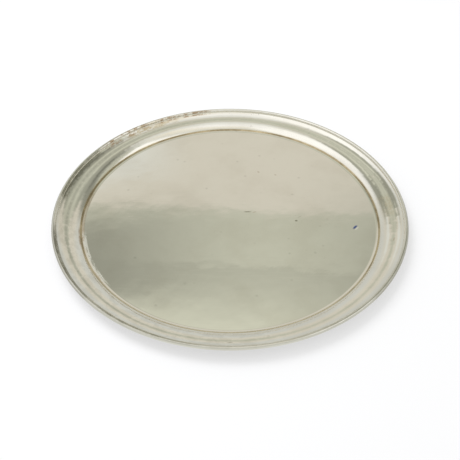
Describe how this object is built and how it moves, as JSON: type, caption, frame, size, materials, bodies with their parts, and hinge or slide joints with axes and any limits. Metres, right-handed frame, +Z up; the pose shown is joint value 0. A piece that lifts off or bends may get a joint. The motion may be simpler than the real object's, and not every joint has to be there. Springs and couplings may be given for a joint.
{
  "type": "salver",
  "caption": "Round silver serving salver with a flat well, a raised stepped border and a wired lip, for carrying glasses and small dishes.",
  "frame": {"origin": "centre of the flat face under the well, on the surface that the salver stands on", "axes": "+Z up, along the salver's axis, out of the well; +X and +Y lie in the plane of that surface, and the round salver has no front"},
  "size_m": [0.3, 0.3, 0.0125],
  "materials": {
    "silver_sheet": "gloss",
    "silver_wire": "gloss",
    "solder": "satin"
  },
  "bodies": {
    "root": {"well_plate": "silver_sheet", "border": "silver_sheet", "rim_wire": "silver_wire", "well_solder": "solder", "rim_solder": "solder"}
  },
  "joints": []
}
